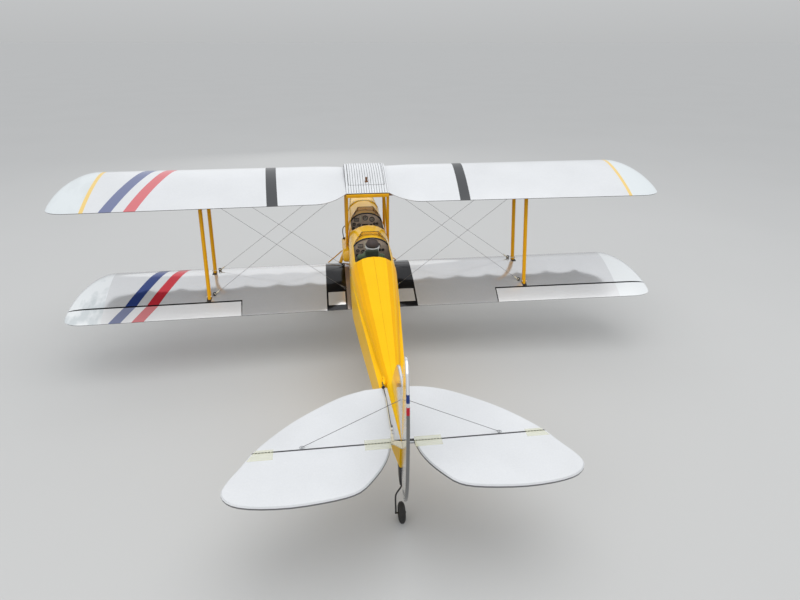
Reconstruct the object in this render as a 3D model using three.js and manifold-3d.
// Radio-controlled scale model of a two-seat trainer biplane, parked tail down on its wheels.
// Sizes are millimetres. Airframe axes: +X to starboard, +Y to the nose, +Z up, with the origin
// in the middle plane at the leading edge of the upper wing's root.

import * as THREE from 'three';
import { mergeVertices } from 'three/addons/utils/BufferGeometryUtils.js';
import Module from 'manifold-3d';

const wasm = await Module();
wasm.setup();

// Driving dimensions

const GAP = 0.3;
const GROUND_ANGLE = THREE.MathUtils.degToRad(6.5);

const WING = {
  root: 66.5, chord: 265, incidence: 0.062, camber: 0.05, camberAt: 0.3, thickness: 0.13,
  edge: 0.8, tipStart: 731, tip: 828, tipWidest: 234, tipRear: 775, hinge: 0.78,
  aileronStart: 343, strutX: 488.5, frontSpar: 0.26, rearSpar: 0.736,
};
const UPPER = { y: 0, z: 0, sweep: 0.07, dihedral: 0.022, cutChord: 180, cutSpan: 110 };
const LOWER = { y: -93, z: -306, sweep: 0.069, dihedral: 0.035, cutChord: 265, cutSpan: 1 };

const TANK = { halfWidth: 64.5, ridges: 16, ridgeHeight: 1.3 };
const STRUT = { chord: 18, width: 11, endGap: 0.75 };
const CABANE = { chord: 13, width: 9, headX: 62.5 };
const WIRE = { diameter: 1.6, sides: 6 };

const TAIL = { z: -192, thickness: 9, hingeY: -1048, hingeGap: 0.9, joiner: 4.8 };
const RUDDER = { hingeY: -1054, thickness: 6, rest: THREE.MathUtils.degToRad(-4), finTop: -60 };
const NOSE_BEVEL = THREE.MathUtils.degToRad(30);

const THRUST_Z = -185;
const COWL = { wall: 2.5, rear: 15.6, front: 258 };
const PROP = { y: 270, diameter: 386, hub: 34, hubLength: 18, chord: 30, shaft: 8 };

const SHELL = { wall: 3, floor: -232, firewall: 15, bulkhead: -243, split: -430, stern: -1053 };
const COCKPITS = [
  { name: 'front', panel: -105, rim: -203, halfWidth: 51, corner: 22, back: -228 },
  { name: 'rear', panel: -300, rim: -400, halfWidth: 52, corner: 12, back: -412 },
];
const PANEL_THICKNESS = 3;
const PILOT = { y: -356, headY: -351, head: 20, top: -88, shoulder: 37 };

const WHEEL = { y: 20, x: 160, diameter: 100, width: 26, hub: 26, axle: 4, tubeFrom: -5 };
const TAILWHEEL = { y: -1056, z: -384.5, diameter: 44, width: 14, hub: 11, pivotY: -1046 };

// Height of the ground along its own normal, set by the tailwheel
const GROUND = TAILWHEEL.y * Math.sin(GROUND_ANGLE) + TAILWHEEL.z * Math.cos(GROUND_ANGLE)
  - TAILWHEEL.diameter / 2;
WHEEL.z = (GROUND + WHEEL.diameter / 2 - WHEEL.y * Math.sin(GROUND_ANGLE)) / Math.cos(GROUND_ANGLE);

// Fuselage sections: station, half width, deck half width, crown, top longeron, bottom
const SECTION_COLUMNS = ['y', 'half', 'deck', 'crown', 'rail', 'bottom'];
const FUSELAGE = [
  [15, 57, 57, -119, -186, -314],
  [-62, 59.5, 59.5, -119, -186, -318],
  [-106, 60.5, 60.5, -112, -186, -320],
  [-205, 63, 63, -114, -186, -321],
  [-262, 64, 64, -116, -186, -322],
  [-302, 65, 65, -110, -186, -322],
  [-400, 65, 65, -124, -186, -318],
  [-430, 64.5, 64.5, -128, -186, -315],
  [-520, 58.5, 56, -139, -187, -307],
  [-610, 52, 47, -150, -189, -299],
  [-700, 44.5, 37, -160, -190, -290.6],
  [-790, 37, 28, -169, -192, -282],
  [-880, 29, 15.5, -177, -195, -274],
  [-970, 19.5, 9.5, -181, -195.5, -266],
  [-1053, 6.5, 4.5, -185, -196, -258],
].map(row => Object.fromEntries(row.map((value, i) => [SECTION_COLUMNS[i], value])));

// Cowl sections: station, half width, top, bottom
const COWL_COLUMNS = ['y', 'half', 'top', 'bottom'];
const COWL_SECTIONS = [
  [15.6, 57, -119, -314],
  [60, 54.5, -122, -312],
  [115, 50, -127, -304],
  [165, 44.5, -133, -290],
  [210, 39, -140, -271],
  [245, 33.5, -147, -252],
  [258, 27, -154, -242],
].map(row => Object.fromEntries(row.map((value, i) => [COWL_COLUMNS[i], value])));

// Finishes

const finish = (color, roughness, metalness = 0) =>
  new THREE.MeshStandardMaterial({ color, roughness, metalness });
const silver = finish(0xdadbdd, 0.45);
const yellow = finish(0xf5b81c, 0.35);
const strutYellow = finish(0xe9a81e, 0.4);
const black = finish(0x1b1b1d, 0.55);
const rubber = finish(0x222224, 0.85);
const steel = finish(0x8d9196, 0.35, 0.9);
const panelBrown = finish(0x5b5450, 0.6);
const glass = finish(0xdfe8ea, 0.1);
const wood = finish(0x7a4b25, 0.45);
const cream = finish(0xe6dcc2, 0.5);
const leather = finish(0x3f3230, 0.7);
const cloth = finish(0x4d5f4c, 0.9);

// Solids

const vec = (x, y, z) => new THREE.Vector3(x, y, z);

// Closed geometry from triangles of points, turned to face outwards
function closedGeometry(positions, indices) {
  let volume = 0;
  for (let i = 0; i < indices.length; i += 3) {
    const [a, b, c] = [0, 1, 2].map(k => positions[indices[i + k]]);
    volume += a.dot(vec().crossVectors(b, c));
  }
  if (volume < 0) indices.reverse();
  const geometry = new THREE.BufferGeometry();
  const coordinates = positions.flatMap(p => p.toArray());
  geometry.setAttribute('position', new THREE.Float32BufferAttribute(coordinates, 3));
  geometry.setIndex(indices);
  return geometry;
}

// Skin through rings of equal point count, each end closed by a fan
function loft(rings) {
  const count = rings[0].length;
  const positions = rings.flat();
  const indices = [];
  for (let r = 0; r < rings.length - 1; r++) {
    for (let i = 0; i < count; i++) {
      const a = r * count + i;
      const b = r * count + (i + 1) % count;
      indices.push(a, b, b + count, a, b + count, a + count);
    }
  }
  for (const end of [0, rings.length - 1]) {
    const centre = rings[end].reduce((sum, p) => sum.add(p), vec(0, 0, 0)).divideScalar(count);
    const hub = positions.push(centre) - 1;
    for (let i = 0; i < count; i++) {
      const a = end * count + i;
      const b = end * count + (i + 1) % count;
      indices.push(...(end === 0 ? [hub, b, a] : [hub, a, b]));
    }
  }
  return closedGeometry(positions, indices);
}

function solid(geometry) {
  const bare = geometry.clone();
  bare.deleteAttribute('normal');
  bare.deleteAttribute('uv');
  const merged = mergeVertices(bare, 1e-4);
  return new wasm.Manifold(new wasm.Mesh({
    numProp: 3,
    vertProperties: new Float32Array(merged.attributes.position.array),
    triVerts: new Uint32Array(merged.index.array),
  }));
}

function geometryOf(manifold) {
  const mesh = manifold.getMesh();
  const geometry = new THREE.BufferGeometry();
  geometry.setAttribute('position', new THREE.BufferAttribute(mesh.vertProperties, 3));
  geometry.setIndex(new THREE.BufferAttribute(mesh.triVerts, 1));
  return geometry;
}

const join = (...solids) => solids.reduce((a, b) => a.add(b));
const cut = (body, ...tools) => tools.reduce((a, b) => a.subtract(b), body);

function box(x0, x1, y0, y1, z0, z1) {
  const geometry = new THREE.BoxGeometry(x1 - x0, y1 - y0, z1 - z0);
  return solid(geometry.translate((x0 + x1) / 2, (y0 + y1) / 2, (z0 + z1) / 2));
}

// Straight bar of an elliptic section between two points, its chord towards Y, or Z on a bar along Y
function bar(from, to, width, chord = width, sides = 10) {
  const axis = to.clone().sub(from).normalize();
  const along = Math.abs(axis.y) > 0.9 ? vec(0, 0, 1) : vec(0, 1, 0);
  const across = vec().crossVectors(axis, along).normalize();
  const fore = vec().crossVectors(across, axis).normalize();
  const ring = centre => Array.from({ length: sides }, (_, i) => {
    const turn = (i + 0.5) / sides * 2 * Math.PI;
    return centre.clone()
      .addScaledVector(across, Math.cos(turn) * width / 2)
      .addScaledVector(fore, Math.sin(turn) * chord / 2);
  });
  return solid(loft([ring(from), ring(to)]));
}

// Flat plate of the given corners, thickened evenly to both sides
function plate(corners, thickness) {
  const normal = vec().crossVectors(
    corners[1].clone().sub(corners[0]), corners[2].clone().sub(corners[0])).normalize();
  const side = d => corners.map(p => p.clone().addScaledVector(normal, d * thickness / 2));
  return solid(loft([side(-1), side(1)]));
}

// Disc or ring turned about the X axis from [radius, x] pairs
function turned(profile, x, y, z, segments = 24) {
  const geometry = new THREE.LatheGeometry(profile.map(([r, h]) => new THREE.Vector2(r, h)), segments);
  return solid(geometry.rotateZ(-Math.PI / 2)).translate(x, y, z);
}

// Wings

// Upper and lower skin heights of the section at a fraction u of a chord
function sectionHeight(u, chord, top) {
  const { camber: m, camberAt: p, thickness } = WING;
  const mean = u < p ? m / p ** 2 * (2 * p * u - u * u)
    : m / (1 - p) ** 2 * (1 - 2 * p + 2 * p * u - u * u);
  const half = 5 * thickness * (0.2969 * Math.sqrt(u) - 0.126 * u - 0.3516 * u ** 2
    + 0.2843 * u ** 3 - 0.1036 * u ** 4);
  const edge = Math.min(WING.edge, chord / 60) * u;
  return mean * chord + (top ? 1 : -1) * (half * chord + edge);
}

const SKIN_STEPS = 10;
const SKIN_NODES = Array.from({ length: SKIN_STEPS + 1 },
  (_, i) => (1 - Math.cos(Math.PI * i / SKIN_STEPS)) / 2);

// Point at span a, chord place b and height h over the chord plane of one wing panel
function panelPoint(side, wing, a, b, h = 0) {
  const c = Math.cos(wing.sweep);
  const s = Math.sin(wing.sweep);
  return vec(
    side * (WING.root + a * c - b * s),
    wing.y - a * s - b * c,
    wing.z + a * wing.dihedral - b * WING.incidence + h,
  );
}

// Height of the skin over a place on the ground plan, inboard of the tip
function skinZ(wing, x, y, top) {
  const c = Math.cos(wing.sweep);
  const s = Math.sin(wing.sweep);
  const dx = Math.abs(x) - WING.root;
  const dy = wing.y - y;
  const a = dx * c + dy * s;
  const b = dy * c - dx * s;
  const chord = trailingEdge(wing, Math.max(a, 0));
  const u = Math.min(Math.max(b / chord, 0), 1);
  const i = Math.min(SKIN_NODES.findLastIndex(node => node <= u), SKIN_STEPS - 1);
  const t = (u - SKIN_NODES[i]) / (SKIN_NODES[i + 1] - SKIN_NODES[i]);
  const h = THREE.MathUtils.lerp(
    sectionHeight(SKIN_NODES[i], chord, top), sectionHeight(SKIN_NODES[i + 1], chord, top), t);
  return wing.z + a * wing.dihedral - b * WING.incidence + h;
}

function leadingEdge(a) {
  if (a <= WING.tipStart) return 0;
  const s = (a - WING.tipStart) / (WING.tip - WING.tipStart);
  return WING.tipWidest * (1 - Math.sqrt(1 - s * s));
}

function trailingEdge(wing, a) {
  if (a < wing.cutSpan) {
    const left = 1 - Math.max(a, 0) / wing.cutSpan;
    return WING.chord - (WING.chord - wing.cutChord) * left * left;
  }
  if (a <= WING.tipRear) return WING.chord;
  const s = (a - WING.tipRear) / (WING.tip - WING.tipRear);
  return WING.tipWidest + (WING.chord - WING.tipWidest) * Math.sqrt(1 - s * s);
}

// Whole wing panel; the root station is set well inboard and trimmed by its neighbour
function wingPanel(side, wing) {
  const tipTurns = [0.3, 0.55, 0.75, 0.9, 0.98];
  const spans = [-14, 0, 22, 42, 64, 85, WING.aileronStart, WING.tipStart,
    ...tipTurns.map(t => THREE.MathUtils.lerp(WING.tipStart, WING.tip, Math.sin(t * Math.PI / 2))),
    WING.tip - 0.05];
  return solid(loft(spans.map(a => {
    const front = leadingEdge(a);
    const chord = trailingEdge(wing, Math.max(a, 0)) - front;
    const skin = top => SKIN_NODES.map(u =>
      panelPoint(side, wing, a, front + u * chord, sectionHeight(u, chord, top)));
    return [...skin(true).reverse(), ...skin(false).slice(1)];
  })));
}

// Prism along the span of a panel, its section given as [chord place, height] pairs
function panelPrism(side, wing, from, to, section) {
  return solid(loft([from, to].map(a => section.map(([b, h]) => panelPoint(side, wing, a, b, h)))));
}

const HINGE_B = WING.hinge * WING.chord;
const HINGE_H = (sectionHeight(WING.hinge, WING.chord, true)
  + sectionHeight(WING.hinge, WING.chord, false)) / 2;
const REACH = 60;
const BEHIND = WING.chord + 40;

// Wedge whose edge is the hinge line, so that the surface turns inside its own outline
const wedgeSection = (edge, mid) => [
  [edge, mid],
  [edge + REACH * Math.tan(NOSE_BEVEL), mid + REACH],
  [edge + BEHIND, mid + REACH],
  [edge + BEHIND, mid - REACH],
  [edge + REACH * Math.tan(NOSE_BEVEL), mid - REACH],
];

// Fuselage and cowl skins, grown outwards by a clearance where they trim a neighbour

function fuselageRing(s, grow) {
  const chine = 7;
  const arc = 7;
  const half = s.half + grow;
  const deck = s.deck + grow;
  const bottom = s.bottom - grow;
  const right = [[half - chine, bottom], [half, bottom + chine], [half, s.rail]];
  for (let i = 0; i <= arc; i++) {
    const turn = i / arc * Math.PI / 2;
    const x = deck * Math.cos(turn) ** 0.87;
    const z = s.rail + 1.5 + (s.crown + grow - s.rail - 1.5) * Math.sin(turn) ** 0.87;
    right.push([i === arc ? 0 : x, z]);
  }
  const left = right.slice(0, -1).reverse().map(([x, z]) => [-x, z]);
  return [...right, ...left].map(([x, z]) => vec(x, s.y, z));
}

function sectionAt(table, y) {
  const i = Math.max(0, Math.min(table.findLastIndex(s => s.y >= y), table.length - 2));
  const t = (y - table[i].y) / (table[i + 1].y - table[i].y);
  return Object.fromEntries(Object.keys(table[i]).map(k =>
    [k, THREE.MathUtils.lerp(table[i][k], table[i + 1][k], t)]));
}

function fuselageSolid(from, to, grow) {
  const inner = FUSELAGE.filter(s => s.y < from && s.y > to);
  const stations = [sectionAt(FUSELAGE, from), ...inner, sectionAt(FUSELAGE, to)];
  return solid(loft(stations.map(s => fuselageRing(s, grow))));
}

function cowlRing(s, grow) {
  const sides = 28;
  const power = 0.62;
  const middle = (s.top + s.bottom) / 2;
  const height = (s.top - s.bottom) / 2 + grow;
  return Array.from({ length: sides }, (_, i) => {
    const turn = (i + 0.5) / sides * 2 * Math.PI;
    const c = Math.cos(turn);
    const d = Math.sin(turn);
    return vec((s.half + grow) * Math.sign(c) * Math.abs(c) ** power, s.y,
      middle + height * Math.sign(d) * Math.abs(d) ** power);
  });
}

const cowlSolid = (grow, sections = COWL_SECTIONS) => solid(loft(sections.map(s => cowlRing(s, grow))));

// Height of the deck at a place on the ground plan
function deckZ(x, y) {
  const s = sectionAt(FUSELAGE, y);
  const c = Math.min(Math.abs(x) / s.deck, 1) ** (1 / 0.87);
  return s.rail + 1.5 + (s.crown - s.rail - 1.5) * Math.sin(Math.acos(c)) ** 0.87;
}

// Whole body with the clearance skin that trims what is fitted to it
const bodySkin = fuselageSolid(SHELL.firewall, SHELL.stern, GAP);
const cowlSkin = cowlSolid(GAP);

// Scene graph: one group holds the airframe and sets its parked attitude

const airframe = new THREE.Group();

function add(name, body, material) {
  const geometry = body instanceof THREE.BufferGeometry ? body : geometryOf(body);
  const mesh = new THREE.Mesh(geometry, material);
  mesh.name = name;
  airframe.add(mesh);
  return mesh;
}

const SIDES = [{ label: 'left', side: -1 }, { label: 'right', side: 1 }];

// Front and middle fuselage, each with its open cockpit, joined at the bulkhead between them

function cockpitSpace({ panel, rim, halfWidth, corner, back }) {
  const roomFrom = panel + 42;
  const stations = FUSELAGE.filter(s => s.y < roomFrom && s.y > back);
  const room = solid(loft([sectionAt(FUSELAGE, roomFrom), ...stations, sectionAt(FUSELAGE, back)]
    .map(s => fuselageRing(s, -SHELL.wall))));
  const aboveFloor = room.intersect(box(-80, 80, back, roomFrom, SHELL.floor, -60));
  const outline = new THREE.Shape();
  outline.moveTo(-halfWidth, panel - PANEL_THICKNESS);
  outline.lineTo(-halfWidth, rim + corner);
  outline.absarc(-halfWidth + corner, rim + corner, corner, Math.PI, 1.5 * Math.PI, false);
  outline.lineTo(halfWidth - corner, rim);
  outline.absarc(halfWidth - corner, rim + corner, corner, 1.5 * Math.PI, 2 * Math.PI, false);
  outline.lineTo(halfWidth, panel - PANEL_THICKNESS);
  outline.closePath();
  const hatch = new THREE.ExtrudeGeometry(outline, { depth: 60, bevelEnabled: false, curveSegments: 5 });
  return aboveFloor.add(solid(hatch.translate(0, 0, -154)));
}

const [frontSpace, rearSpace] = COCKPITS.map(cockpitSpace);
add('fuselage_front', cut(fuselageSolid(SHELL.firewall, SHELL.bulkhead + GAP, 0), frontSpace), yellow);
add('fuselage_middle', cut(fuselageSolid(SHELL.bulkhead, SHELL.split + GAP, 0), rearSpace), yellow);

// Rear fuselage: slotted for the tailplane, with a cable fairing on each side of the deck

const CABLE_FAIRING = { x: 20.5, front: -846, rear: -886, z: -185, radius: 4.5, bore: 4.4, depth: 24 };
const slotHalf = TAIL.thickness / 2 + GAP;
const slot = box(-60, 60, -1080, -886.5, TAIL.z - slotHalf, TAIL.z + slotHalf);
const fairings = SIDES.map(({ side }) => bar(
  vec(side * (CABLE_FAIRING.x - 6), CABLE_FAIRING.front, CABLE_FAIRING.z - 4),
  vec(side * CABLE_FAIRING.x, CABLE_FAIRING.rear, CABLE_FAIRING.z), 2 * CABLE_FAIRING.radius));
const rodBore = bar(vec(-CABLE_FAIRING.x, CABLE_FAIRING.rear + CABLE_FAIRING.depth, CABLE_FAIRING.z),
  vec(-CABLE_FAIRING.x, CABLE_FAIRING.rear - 5, CABLE_FAIRING.z), CABLE_FAIRING.bore);
const tailBody = join(fuselageSolid(SHELL.split, SHELL.stern, 0), ...fairings);
add('fuselage_rear', cut(tailBody, slot, rodBore), yellow);

// Engine cowl with its air intake on the port side of the nose and an outlet below

const cowlInside = COWL_SECTIONS.map(s => ({
  ...s, y: s.y === COWL.front ? COWL.front - COWL.wall : s.y === COWL.rear ? COWL.rear - 1 : s.y,
}));
const intake = box(-60, -9, 236, 270, -244, -196);
const shaftHole = bar(vec(0, 230, THRUST_Z), vec(0, 280, THRUST_Z), 26, 26, 16);
const outlet = box(-26, 26, 30, 95, -330, -290);
add('engine_cowl', cut(cowlSolid(0), cowlSolid(-COWL.wall, cowlInside), intake, shaftHole, outlet), yellow);

const engineMount = box(-17, 17, COWL.rear, 126, -205, -165);
const crankcase = box(-21, 21, 125, 232, -252, -160);
const driveShaft = bar(vec(0, 231, THRUST_Z), vec(0, PROP.y - PROP.hubLength / 2 - GAP, THRUST_Z),
  PROP.shaft, PROP.shaft, 12);
add('engine_block', join(engineMount, crankcase, driveShaft), steel);

// Propeller: two twisted wooden blades on a round boss, level across the nose

// Blade stations: radius, chord, thickness, pitch angle
const BLADE = [
  [6, 20, 14, 62],
  [28, 24, 10, 48],
  [70, PROP.chord, 6.5, 30],
  [125, PROP.chord, 4.6, 19],
  [172, 21, 3.2, 14],
  [PROP.diameter / 2, 7, 2, 12],
];

function propellerBlade(direction) {
  const rings = BLADE.map(([radius, chord, thick, pitch]) => Array.from({ length: 10 }, (_, i) => {
    const turn = i / 10 * 2 * Math.PI;
    const angle = THREE.MathUtils.degToRad(pitch);
    const u = Math.cos(turn) * chord / 2;
    const v = Math.sin(turn) * thick / 2;
    return vec(direction * radius,
      PROP.y + u * Math.sin(angle) + v * Math.cos(angle),
      THRUST_Z + direction * (u * Math.cos(angle) - v * Math.sin(angle)));
  }));
  return solid(loft(rings));
}

const onThrustLine = y => vec(0, y, THRUST_Z);
const boss = bar(onThrustLine(PROP.y - PROP.hubLength / 2), onThrustLine(PROP.y + PROP.hubLength / 2),
  PROP.hub, PROP.hub, 20);
add('propeller', join(boss, propellerBlade(1), propellerBlade(-1)), wood);

const noseCap = new THREE.LatheGeometry(
  [[0, 0], [13, 0], [13, 3], [9, 5], [7, 11], [0, 12]].map(([r, h]) => new THREE.Vector2(r, h)), 16);
noseCap.translate(0, PROP.y + PROP.hubLength / 2 + GAP, THRUST_Z);
add('propeller_nut', solid(noseCap), steel);

// Exhaust pipe out of the starboard side of the cowl, down and aft

const exhaustPath = new THREE.CatmullRomCurve3([
  vec(42, 138, -266), vec(58, 128, -272), vec(62, 96, -290),
  vec(56, 48, -316), vec(50, 0, -330), vec(48, -40, -334),
]);
const round = (radius, points) => new THREE.Shape(Array.from({ length: points }, (_, i) => {
  const turn = i / points * 2 * Math.PI;
  return new THREE.Vector2(radius * Math.cos(turn), radius * Math.sin(turn));
}));
const exhaust = new THREE.ExtrudeGeometry(round(5, 10), {
  steps: 16, extrudePath: exhaustPath, bevelEnabled: false,
});
add('exhaust_pipe', cut(solid(exhaust), cowlSkin, bodySkin), steel);

// Oil tank on the port side under the front cockpit

const OIL_TANK = {
  front: -74, rear: -197, top: -203, bottom: -251, depth: 20, round: 9, corner: 22,
};
const oilOutline = new THREE.Shape();
const oilCorner = OIL_TANK.corner;
const oilCentres = [
  [OIL_TANK.front - oilCorner, OIL_TANK.top - oilCorner],
  [OIL_TANK.rear + oilCorner, OIL_TANK.top - oilCorner],
  [OIL_TANK.rear + oilCorner, OIL_TANK.bottom + oilCorner],
  [OIL_TANK.front - oilCorner, OIL_TANK.bottom + oilCorner],
];
oilCentres.forEach(([y, z], quarter) => {
  const start = quarter * Math.PI / 2;
  oilOutline.absarc(y, z, oilCorner, start, start + Math.PI / 2, false);
});
const oilBlank = new THREE.ExtrudeGeometry(oilOutline, {
  depth: 30, curveSegments: 4, bevelThickness: OIL_TANK.round, bevelSize: OIL_TANK.round,
  bevelOffset: -OIL_TANK.round, bevelSegments: 3,
});
oilBlank.rotateX(Math.PI / 2).rotateZ(Math.PI / 2);
oilBlank.translate(-OIL_TANK.depth - 62 + OIL_TANK.round, 0, 0);
add('oil_tank', cut(solid(oilBlank), bodySkin), yellow);

// Instrument panels, seat, windscreens

// Dials of one panel: x, z, radius
const DIALS = [
  [-34, -140, 7], [0, -136, 9], [28, -141, 8],
  [-33, -163, 7], [-10, -160, 6], [13, -160, 6], [34, -163, 7],
];

for (const { name, panel } of COCKPITS) {
  const face = solid(loft([panel, panel - PANEL_THICKNESS + GAP].map(y =>
    fuselageRing({ ...sectionAt(FUSELAGE, panel), y }, -SHELL.wall - GAP))));
  const slab = face.intersect(box(-80, 80, panel - 20, panel + 20, -206, -60));
  const bezels = DIALS.map(([x, z, r]) => bar(vec(x, panel - PANEL_THICKNESS + 1, z),
    vec(x, panel - PANEL_THICKNESS - 1.5, z), 2 * r, 2 * r, 12));
  add(`instrument_panel_${name}`, join(slab, ...bezels), panelBrown);
}

function seat({ panel, rim }) {
  const y = rim + 12;
  const back = plate([vec(-30, y, SHELL.floor + GAP + 3), vec(30, y, SHELL.floor + GAP + 3),
    vec(26, y + 1, -168), vec(-26, y + 1, -168)], 5);
  const pan = box(-30, 30, y - 2, y + 44, SHELL.floor + GAP, SHELL.floor + 12);
  return join(back, pan);
}
add('seat_front', seat(COCKPITS[0]), black);

// Windscreens: places of foot, head and ends from the panel, half widths, heights
const SCREEN = {
  foot: 36, head: 17, end: -9, top: -99.5, footHalf: 27, headHalf: 25, endHalf: 50.5,
  cornerHalf: 44, cornerAhead: 6, cornerRise: 12, lift: 1.1, overlap: 0.5, pane: 1.4,
};

function windscreen(panel) {
  const [foot, head, end] = [panel + SCREEN.foot, panel + SCREEN.head, panel + SCREEN.end];
  const seatOn = (x, y) => vec(x, y, deckZ(x, y) + SCREEN.lift);
  const centre = [
    seatOn(-SCREEN.footHalf, foot), seatOn(SCREEN.footHalf, foot),
    vec(SCREEN.headHalf, head, SCREEN.top), vec(-SCREEN.headHalf, head, SCREEN.top),
  ];
  const cornerZ = deckZ(SCREEN.cornerHalf + 3, end) + SCREEN.cornerRise;
  const wings = SIDES.map(({ side }) => [
    seatOn(side * (SCREEN.footHalf - SCREEN.overlap), foot),
    vec(side * (SCREEN.headHalf - SCREEN.overlap), head, SCREEN.top),
    vec(side * SCREEN.cornerHalf, end + SCREEN.cornerAhead, cornerZ),
    seatOn(side * SCREEN.endHalf, end),
  ]);
  const triangles = wings.flatMap(([a, b, c, d]) => [[a, b, c], [a, c, d]]);
  const panes = [centre, ...triangles].map(corners => plate(corners, SCREEN.pane));
  return cut(join(...panes), bodySkin);
}
for (const { name, panel } of COCKPITS) add(`windscreen_${name}`, windscreen(panel), glass);

// Pilot figure in the rear cockpit: bust on the floor, helmeted head

// Rings of the bust: height, half width, half depth
const BUST = [
  [SHELL.floor + GAP, 30, 17],
  [-200, 33, 18],
  [-165, PILOT.shoulder, 18],
  [-150, PILOT.shoulder - 1, 18],
  [-140, 24, 17],
  [-130, 18, 14],
];
add('pilot_body', solid(loft(BUST.map(([z, halfX, halfY]) => Array.from({ length: 16 }, (_, i) => {
  const turn = i / 16 * 2 * Math.PI;
  return vec(halfX * Math.cos(turn), PILOT.y + halfY * Math.sin(turn), z);
})))), cloth);

// Outline of the head: radius, height over the neck
const HEAD = [
  [0, -2.7], [10, -2.7], [12, 2], [16, 5], [20, 13],
  [PILOT.head, 21], [19, 29], [13, 35], [6.5, 38], [0, 39],
];
const skull = new THREE.LatheGeometry(HEAD.map(([r, h]) => new THREE.Vector2(r, h)), 16);
skull.rotateX(Math.PI / 2).scale(1, 1.12, 1).translate(1, PILOT.headY, PILOT.top - 39);
add('pilot_head', cut(solid(skull), box(-60, 60, PILOT.y - 60, PILOT.y + 60, -180, -129.7)), leather);

// Fuel tank that forms the centre section, ridged along the chord on top; its outline is y, z

const TANK_TOP = [[3, -3], [2, 9], [-6, 18], [-26, 25.5], [-60, 27], [-105, 20], [-155, 4], [-199, -11.5]];
const TANK_BOTTOM = [[-199, -19], [-24, -19], [-4, -13]];
const ridgeStations = [-TANK.halfWidth];
for (let i = 0; i < 2 * TANK.ridges; i++) {
  ridgeStations.push(-TANK.halfWidth + 2 + (i + 0.5) * (2 * TANK.halfWidth - 4) / (2 * TANK.ridges));
}
ridgeStations.push(TANK.halfWidth);
add('fuel_tank', loft(ridgeStations.map((x, i) => {
  const lift = i % 2 ? TANK.ridgeHeight : 0;
  const inward = i > 0 && i < ridgeStations.length - 1;
  return [
    ...TANK_TOP.map(([y, z], k) => vec(x, y, z + (inward && k > 1 ? lift : 0))),
    ...TANK_BOTTOM.map(([y, z]) => vec(x, y, z)),
  ];
})), silver);
const tankRear = TANK_TOP.at(-1)[0];
const centreSpar = box(-TANK.halfWidth, TANK.halfWidth, tankRear - 6.5, tankRear - GAP, -22.5, -13.5);
add('centre_spar', centreSpar, strutYellow);

const tankSkin = box(-TANK.halfWidth - GAP, TANK.halfWidth + GAP, -300, 60, -80, 80);

// Cabane: front, rear and diagonal struts on each side, from the top longeron to the tank

for (const { label, side } of SIDES) {
  const footX = y => side * (sectionAt(FUSELAGE, y).half + GAP + CABANE.width / 2);
  const head = y => vec(side * CABANE.headX, y, -10);
  const front = bar(vec(footX(-64), -64, -200), head(-46), CABANE.width, CABANE.chord);
  const rear = bar(vec(footX(-158), -158, -200), head(-188), CABANE.width, CABANE.chord);
  const diagonal = bar(vec(footX(-158), -152, -192), head(-44), CABANE.width * 0.6, CABANE.width * 0.8);
  const frame = cut(join(front, rear, diagonal), box(-90, 90, -260, 20, -19 - GAP, 40), bodySkin);
  add(`cabane_struts_${label}`, frame, strutYellow);
}

// Wings and ailerons

for (const { label, side } of SIDES) {
  add(`wing_upper_${label}`, cut(wingPanel(side, UPPER), tankSkin), silver);
  const whole = cut(wingPanel(side, LOWER), bodySkin);
  const bay = panelPrism(side, LOWER, WING.aileronStart - 1.5, WING.tip + 40, [
    [HINGE_B - TAIL.hingeGap, -REACH], [HINGE_B - TAIL.hingeGap, REACH],
    [HINGE_B + BEHIND, REACH], [HINGE_B + BEHIND, -REACH]]);
  add(`wing_lower_${label}`, cut(whole, bay), silver);
  const wedge = panelPrism(side, LOWER, WING.aileronStart, WING.tip + 40, wedgeSection(HINGE_B, HINGE_H));
  add(`aileron_${label}`, whole.intersect(wedge), silver);
}

// Interplane struts, each end cut to the skin it meets

const SPARS = [
  { spar: 'front', b: WING.frontSpar * WING.chord },
  { spar: 'rear', b: WING.rearSpar * WING.chord },
];

function spanAt(wing, x, b) {
  return (x - WING.root + b * Math.sin(wing.sweep)) / Math.cos(wing.sweep);
}

for (const { label, side } of SIDES) {
  for (const { spar, b } of SPARS) {
    const foot = panelPoint(side, LOWER, spanAt(LOWER, WING.strutX, b), b);
    const head = panelPoint(side, UPPER, spanAt(UPPER, WING.strutX, b), b);
    const axis = head.clone().sub(foot);
    const ends = [
      { wing: LOWER, base: foot, top: true, clear: STRUT.endGap },
      { wing: UPPER, base: head, top: false, clear: -STRUT.endGap },
    ];
    const rings = ends.map(({ wing, base, top, clear }) => Array.from({ length: 10 }, (_, i) => {
      const turn = (i + 0.5) / 10 * 2 * Math.PI;
      const x = base.x + Math.cos(turn) * STRUT.width / 2;
      const y = base.y + Math.sin(turn) * STRUT.chord / 2;
      const lean = (skinZ(wing, x, y, top) - base.z) / axis.z;
      const px = x + lean * axis.x;
      const py = y + lean * axis.y;
      return vec(px, py, skinZ(wing, px, py, top) + clear);
    }));
    add(`interplane_strut_${spar}_${label}`, solid(loft(rings)), strutYellow);
  }
}

// Main stays: flying wires up to the strut heads, landing wires down to the strut feet

const STAY = { inset: 14, flyingAhead: 12, landingAhead: 16, clear: 1.2, headClear: 1.4 };

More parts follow.
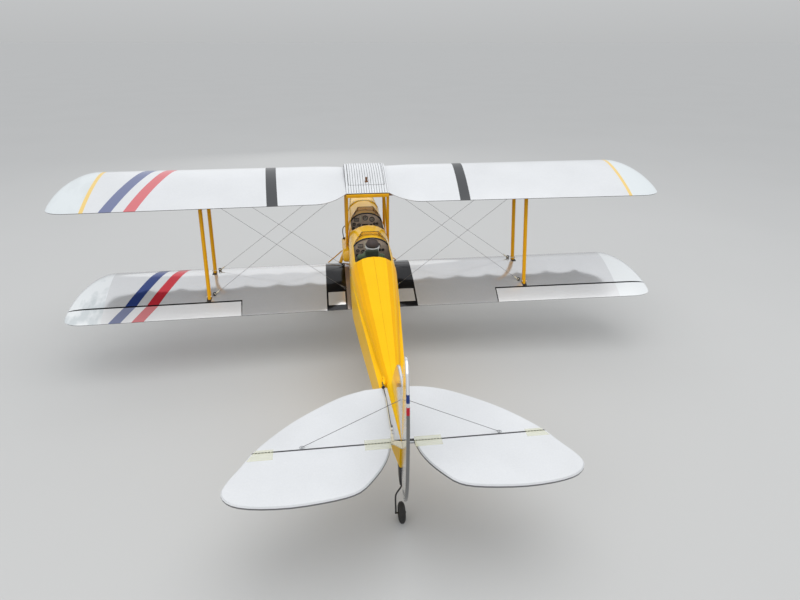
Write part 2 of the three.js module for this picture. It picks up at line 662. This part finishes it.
for (const { label, side } of SIDES) {
  for (const { spar, b } of SPARS) {
    const skinPoint = (wing, x, ahead, top, clear) => {
      const p = panelPoint(side, wing, spanAt(wing, x, b), b);
      const y = p.y + ahead;
      return vec(p.x, y, skinZ(wing, p.x, y, top) + (top ? clear : -clear));
    };
    const stay = (from, to) => bar(from, to, WIRE.diameter, WIRE.diameter, WIRE.sides);
    const inner = WING.root + STAY.inset;
    const outer = WING.strutX - STAY.inset;
    const flying = stay(
      skinPoint(LOWER, inner, STAY.flyingAhead, true, STAY.clear),
      skinPoint(UPPER, outer, STAY.flyingAhead, false, STAY.clear));
    add(`flying_wire_${spar}_${label}`, flying, steel);
    const landing = stay(
      skinPoint(UPPER, inner, STAY.landingAhead, false, STAY.headClear),
      skinPoint(LOWER, outer, STAY.landingAhead, true, STAY.clear));
    add(`landing_wire_${spar}_${label}`, landing, steel);
  }
}

// Tailplane and elevators: one flat plate each side of the hinge line

const v2 = (x, y) => new THREE.Vector2(x, y);
const TAIL_FRONT = [
  v2(60, -891), v2(110, -907), v2(160, -936), v2(210, -972), v2(252, -1012), v2(283, -1048),
];
const ELEVATOR_EDGE = [
  v2(300, -1079), v2(318, -1108), v2(326, -1132), v2(317, -1150), v2(296, -1163),
  v2(258, -1171), v2(205, -1174), v2(150, -1170), v2(108, -1163), v2(83, -1152),
  v2(62, -1130), v2(44, -1106), v2(30, -1078), v2(22, -1049),
];

function tailPlate(shape, segments) {
  const soft = 2.5;
  const geometry = new THREE.ExtrudeGeometry(shape, {
    depth: TAIL.thickness - 2 * soft, curveSegments: segments, bevelThickness: soft, bevelSize: soft,
    bevelOffset: -soft, bevelSegments: 1,
  });
  return solid(geometry.translate(0, 0, TAIL.z - TAIL.thickness / 2 + soft));
}

const tailplaneShape = new THREE.Shape([v2(0, -888), v2(15, -888)]);
tailplaneShape.splineThru(TAIL_FRONT);
tailplaneShape.lineTo(290, -1075);
tailplaneShape.lineTo(-290, -1075);
tailplaneShape.lineTo(-283, -1048);
tailplaneShape.splineThru(TAIL_FRONT.slice(0, -1).reverse().map(p => v2(-p.x, p.y)));
tailplaneShape.lineTo(-15, -888);
const tailFront = cut(
  tailPlate(tailplaneShape, 3),
  box(-400, 400, -1200, TAIL.hingeY + TAIL.hingeGap, -260, -120),
  box(-22, 22, -1200, TAIL.hingeY + 5, -260, -120));
add('tailplane', tailFront, silver);

for (const { label, side } of SIDES) {
  const shape = new THREE.Shape([v2(21, -1030), v2(270, -1030), v2(283, -1048)]);
  shape.splineThru(ELEVATOR_EDGE);
  shape.closePath();
  const blank = tailPlate(shape, 2);
  const wedge = solid(loft([-10, 400].map(x =>
    wedgeSection(0, TAIL.z).map(([b, z]) => vec(x, TAIL.hingeY - b, z)))));
  const elevator = blank.intersect(wedge);
  add(`elevator_${label}`, side > 0 ? elevator : elevator.mirror([1, 0, 0]), silver);
}
const joinerEnd = 21.9 - GAP;
const joinerTube = bar(vec(-joinerEnd, TAIL.hingeY, TAIL.z), vec(joinerEnd, TAIL.hingeY, TAIL.z),
  TAIL.joiner, TAIL.joiner, 12);
add('elevator_joiner', joinerTube, steel);

// Fin and rudder: upright plates; the rudder stands a few degrees to port at rest

function uprightPlate(shape, thickness, segments) {
  const soft = thickness * 0.25;
  const geometry = new THREE.ExtrudeGeometry(shape, {
    depth: thickness - 2 * soft, curveSegments: segments, bevelThickness: soft, bevelSize: soft,
    bevelOffset: -soft, bevelSegments: 1,
  });
  geometry.translate(0, 0, -thickness / 2 + soft);
  return solid(geometry.rotateX(Math.PI / 2).rotateZ(Math.PI / 2));
}

const finShape = new THREE.Shape([v2(-1080, -192), v2(-1080, RUDDER.finTop), v2(-980, RUDDER.finTop - 1)]);
finShape.splineThru([v2(-962, -70), v2(-940, -95), v2(-915, -128), v2(-893, -162), v2(-876, -192)]);
const finBlank = uprightPlate(finShape, RUDDER.thickness, 3);
add('fin', cut(finBlank, bodySkin, box(-20, 20, -1200, RUDDER.hingeY + TAIL.hingeGap, -300, 0)), silver);

const rudderShape = new THREE.Shape([v2(-1040, -264), v2(-1040, -120)]);
rudderShape.lineTo(-1047, -56);
rudderShape.splineThru([
  v2(-1041, -20), v2(-1050, 12), v2(-1071, 29), v2(-1100, 20), v2(-1130, -14), v2(-1152, -65),
  v2(-1163, -120), v2(-1166, -168), v2(-1160, -208), v2(-1145, -240), v2(-1118, -260), v2(-1090, -264),
]);
rudderShape.closePath();
const rudderBlank = uprightPlate(rudderShape, RUDDER.thickness, 2);
const rudderNose = solid(loft([-300, RUDDER.finTop + 2.5].map(z =>
  wedgeSection(0, 0).map(([b, x]) => vec(x, RUDDER.hingeY - b, z)))));
const rudderHead = box(-20, 20, -1300, -1000, RUDDER.finTop + 2.5, 60);
const rudderBody = rudderBlank.intersect(join(rudderNose, rudderHead));
const HORN = { z: -180, reach: 20, thickness: 3 };
const horn = solid(loft([HORN.z - HORN.thickness / 2, HORN.z + HORN.thickness / 2].map(z => [
  vec(-1, RUDDER.hingeY - 3, z), vec(-HORN.reach - 3, RUDDER.hingeY + 1, z),
  vec(-HORN.reach - 3, RUDDER.hingeY - 5, z), vec(-1, RUDDER.hingeY - 22, z)])));
const turnRudder = body => body.translate(0, -RUDDER.hingeY, 0)
  .rotate([0, 0, THREE.MathUtils.radToDeg(RUDDER.rest)]).translate(0, RUDDER.hingeY, 0);
add('rudder', turnRudder(rudderBody), silver);
const rudderSkin = turnRudder(uprightPlate(rudderShape, RUDDER.thickness + 2 * GAP, 2));
add('rudder_horn', cut(turnRudder(horn), rudderSkin), cream);

// Rudder pushrod from inside the port cable fairing to a clevis whose cheeks straddle the horn

const hornX = -HORN.reach * Math.cos(RUDDER.rest);
const hornY = RUDDER.hingeY - HORN.reach * Math.sin(RUDDER.rest);
const rodFront = vec(-CABLE_FAIRING.x, CABLE_FAIRING.rear + CABLE_FAIRING.depth - 12, CABLE_FAIRING.z);
const rodRear = vec(hornX, hornY + 10, HORN.z);
const cheekIn = HORN.thickness / 2 + GAP;
const cheekOut = cheekIn + 1.4;
const clevisBlock = box(hornX - 2.2, hornX + 2.2, hornY + 6, hornY + 15,
  HORN.z - cheekOut, HORN.z + cheekOut);
const cheeks = [-1, 1].map(up => box(hornX - 2.2, hornX + 2.2, hornY - 3, hornY + 7,
  HORN.z + Math.min(up * cheekIn, up * cheekOut), HORN.z + Math.max(up * cheekIn, up * cheekOut)));
add('rudder_pushrod', join(bar(rodFront, rodRear, 2, 2, 8), clevisBlock, ...cheeks), cream);

// Tail bracing: wires from the fin down to the tailplane

for (const { label, side } of SIDES) {
  const top = vec(side * (RUDDER.thickness / 2 + 1.1), -1040, -90);
  const foot = vec(side * 187, -1042, TAIL.z + TAIL.thickness / 2 + 1.1);
  add(`tail_brace_${label}`, bar(top, foot, WIRE.diameter, WIRE.diameter, WIRE.sides), steel);
}

// Landing gear: split axle and radius rod, faired compression leg, wheel

for (const { label, side } of SIDES) {
  const hubEnd = vec(side * 134, WHEEL.y, WHEEL.z);
  const belly = y => sectionAt(FUSELAGE, y).bottom;
  const tubes = grow => join(
    bar(vec(side * 22, WHEEL.tubeFrom, belly(WHEEL.tubeFrom) + 6), hubEnd, 9 + grow),
    bar(vec(side * 46, -170, belly(-170) + 6), hubEnd, 7 + grow));
  const knuckle = box(Math.min(side * 124, side * 142), Math.max(side * 124, side * 142),
    WHEEL.y - 7, WHEEL.y + 7, WHEEL.z - 7, WHEEL.z + 7);
  const stub = bar(vec(side * 140, WHEEL.y, WHEEL.z), vec(side * 173, WHEEL.y, WHEEL.z),
    2 * WHEEL.axle, 2 * WHEEL.axle, 12);
  add(`axle_${label}`, cut(join(tubes(0), knuckle, stub), bodySkin), black);

  const legTop = vec(side * 56, -7, -252);
  const leg = bar(legTop, vec(side * 132, WHEEL.y, WHEEL.z - 2), 11, 24, 12);
  const clearKnuckle = box(-200, 200, WHEEL.y - 30, WHEEL.y + 30, WHEEL.z - 40, WHEEL.z + 7 + GAP);
  add(`compression_leg_${label}`, cut(leg, clearKnuckle, tubes(3 * GAP), bodySkin), strutYellow);

  const half = WHEEL.width / 2;
  const outer = WHEEL.diameter / 2;
  const tyreProfile = [
    [WHEEL.hub, -8], [WHEEL.hub + 8, -half], [outer - 7, -half + 2], [outer - 1.5, -6], [outer, 0],
    [outer - 1.5, 6], [outer - 7, half - 2], [WHEEL.hub + 8, half], [WHEEL.hub, 8], [WHEEL.hub, -8],
  ];
  add(`tyre_${label}`, turned(tyreProfile, side * WHEEL.x, WHEEL.y, WHEEL.z, 32), rubber);
  const bore = WHEEL.axle + GAP;
  const hubProfile = [
    [bore, -12], [10, -12], [WHEEL.hub - 2, -7], [WHEEL.hub - GAP, -7], [WHEEL.hub - GAP, 7],
    [WHEEL.hub - 2, 7], [10, 12], [bore, 12], [bore, -12],
  ];
  add(`wheel_hub_${label}`, turned(hubProfile, side * WHEEL.x, WHEEL.y, WHEEL.z, 24), silver);
}

// Tail gear: bracket under the sternpost, steered wire leg, wheel

const bracketFoot = -302;
const bracketY = -1042;
const bracket = solid(loft([[-250, 7, 9], [bracketFoot, 5, 6.5]].map(([z, halfX, halfY]) => [
  vec(-halfX, bracketY - halfY, z), vec(halfX, bracketY - halfY, z),
  vec(halfX, bracketY + halfY * 2, z), vec(-halfX, bracketY + halfY * 2, z),
])));
add('tailwheel_bracket', cut(bracket, bodySkin), black);

const legX = -TAILWHEEL.width / 2 - 5;
const legPath = new THREE.CatmullRomCurve3([
  vec(0, TAILWHEEL.pivotY, bracketFoot - 3), vec(-1, TAILWHEEL.pivotY, -318),
  vec(legX, TAILWHEEL.pivotY - 3, -338),
  vec(legX, TAILWHEEL.y, TAILWHEEL.z)], false, 'catmullrom', 0.3);
const wireLeg = new THREE.ExtrudeGeometry(round(1.8, 8), {
  steps: 14, extrudePath: legPath, bevelEnabled: false,
});
const onPivot = z => vec(0, TAILWHEEL.pivotY, z);
const collar = bar(onPivot(bracketFoot - GAP), onPivot(bracketFoot - 7), 9, 9, 12);
const wheelPin = bar(vec(legX - 2, TAILWHEEL.y, TAILWHEEL.z),
  vec(TAILWHEEL.width / 2 + 2, TAILWHEEL.y, TAILWHEEL.z), 3.6, 3.6, 12);
add('tailwheel_leg', join(solid(wireLeg), collar, wheelPin), steel);

const tailHalf = TAILWHEEL.width / 2;
const tailOuter = TAILWHEEL.diameter / 2;
const tailTyre = [
  [TAILWHEEL.hub, -4], [TAILWHEEL.hub + 4, -tailHalf], [tailOuter - 3, -tailHalf + 1.5],
  [tailOuter, -2.5], [tailOuter, 2.5], [tailOuter - 3, tailHalf - 1.5],
  [TAILWHEEL.hub + 4, tailHalf], [TAILWHEEL.hub, 4], [TAILWHEEL.hub, -4],
];
add('tailwheel_tyre', turned(tailTyre, 0, TAILWHEEL.y, TAILWHEEL.z, 28), rubber);
const pinBore = 1.8 + GAP;
const tailHub = [
  [pinBore, -5], [TAILWHEEL.hub - GAP, -4], [TAILWHEEL.hub - GAP, 4], [pinBore, 5], [pinBore, -5],
];
add('tailwheel_hub', turned(tailHub, 0, TAILWHEEL.y, TAILWHEEL.z, 20), black);

// Parked attitude, standing on the ground with the middle of its plan over the origin

airframe.rotation.x = GROUND_ANGLE;
airframe.updateMatrixWorld(true);
const extent = new THREE.Box3().setFromObject(airframe, true);
airframe.position.set(0, -(extent.min.y + extent.max.y) / 2, -GROUND);

const model = new THREE.Group();
model.add(airframe);

export default model;
